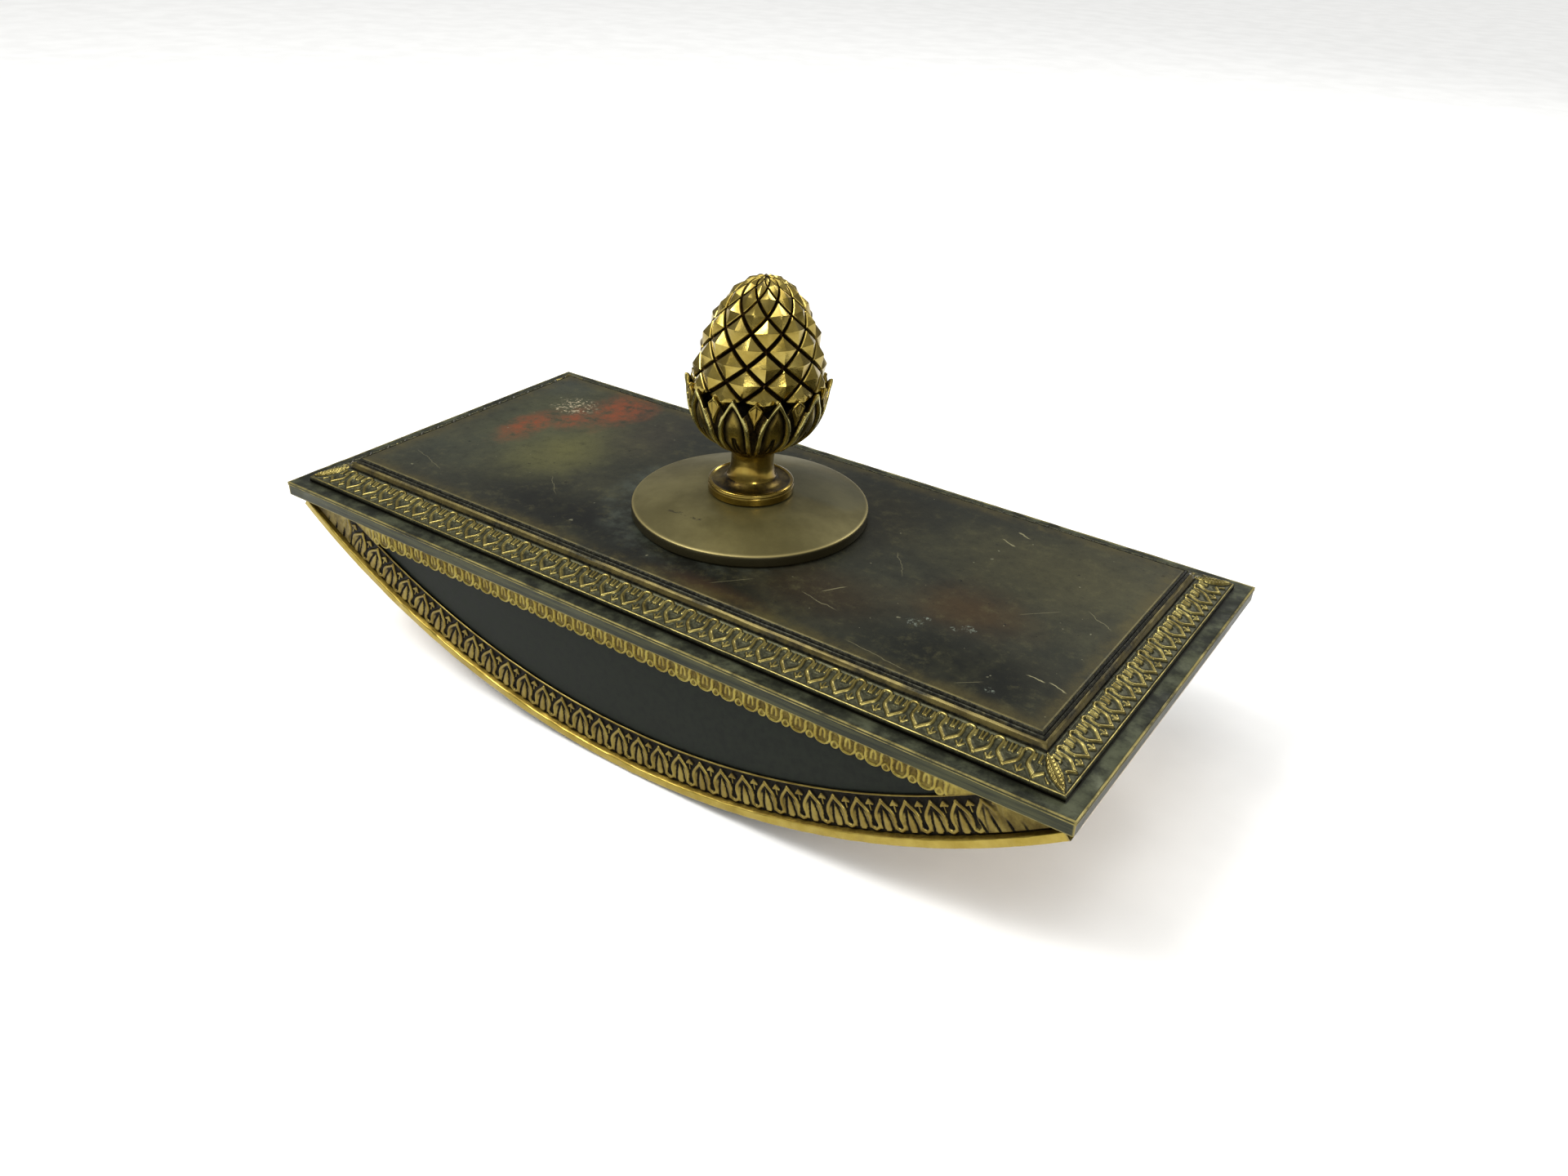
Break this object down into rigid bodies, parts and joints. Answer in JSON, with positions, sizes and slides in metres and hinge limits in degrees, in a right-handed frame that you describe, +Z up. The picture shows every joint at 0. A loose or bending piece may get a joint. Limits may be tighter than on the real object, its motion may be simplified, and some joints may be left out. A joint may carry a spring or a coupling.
{
  "type": "rocker ink blotter",
  "caption": "Bronze rocker ink blotter: curved base with leaf friezes and blotting paper, rectangular cover plate, domed collar and a screw-on pinecone handle.",
  "frame": {"origin": "middle of the lowest line of the blotting paper, on which the blotter stands", "axes": "+X along the length, to the right in front view; +Y across the width, away from the front; +Z up through the handle"},
  "size_m": [0.17, 0.0816, 0.0826],
  "materials": {
    "dark_bronze": "dark olive-brown patina, worn satin",
    "gilt_bronze": "gilt, polished on high points, dark in the recesses",
    "dull_gilt_bronze": "dull gilt relief on an olive ground",
    "worn_brass": "worn khaki brass, satin",
    "raw_brass": "plain filed brass, slightly tarnished",
    "steel": "turned steel, slightly tarnished",
    "blotting_paper": "soft matt fibrous paper"
  },
  "bodies": {
    "rocker": {"front_side_wall": "dark_bronze", "rear_side_wall": "dark_bronze", "front_rim": "gilt_bronze", "rear_rim": "gilt_bronze", "front_lower_frieze": "gilt_bronze", "rear_lower_frieze": "gilt_bronze", "front_upper_frieze": "gilt_bronze", "rear_upper_frieze": "gilt_bronze", "left_end_bar": "raw_brass", "right_end_bar": "raw_brass", "bridge_bar": "raw_brass", "sole_plate": "raw_brass", "blotting_paper": "blotting_paper", "frame_screws": "raw_brass", "sole_screws": "raw_brass", "bridge_screws": "steel", "center_stud": "steel", "stud_washer": "steel", "stud_nut": "steel"},
    "cover": {"cover_plate": "dark_bronze", "front_border": "dull_gilt_bronze", "rear_border": "dull_gilt_bronze", "left_border": "dull_gilt_bronze", "right_border": "dull_gilt_bronze", "corner_leaves": "dull_gilt_bronze", "panel_moulding": "dull_gilt_bronze", "locating_pins": "steel", "collar_disc": "worn_brass"},
    "finial": {"finial_stem": "gilt_bronze", "leaf_calyx": "gilt_bronze", "pinecone": "gilt_bronze"}
  },
  "joints": [
    {"name": "cover_lift", "type": "slide", "parent": "rocker", "child": "cover", "axis": [0, 0, 1], "range_m": [0, 0.0064]},
    {"name": "finial_turn", "type": "hinge", "parent": "cover", "child": "finial", "pos_m": [0, 0, 0.0426], "axis": [0, 0, 1], "range_deg": [0, 2880]}
  ],
  "couplings": [
    {"joint": "finial_turn", "follows": "cover_lift", "rad_per_m": 7854}
  ]
}
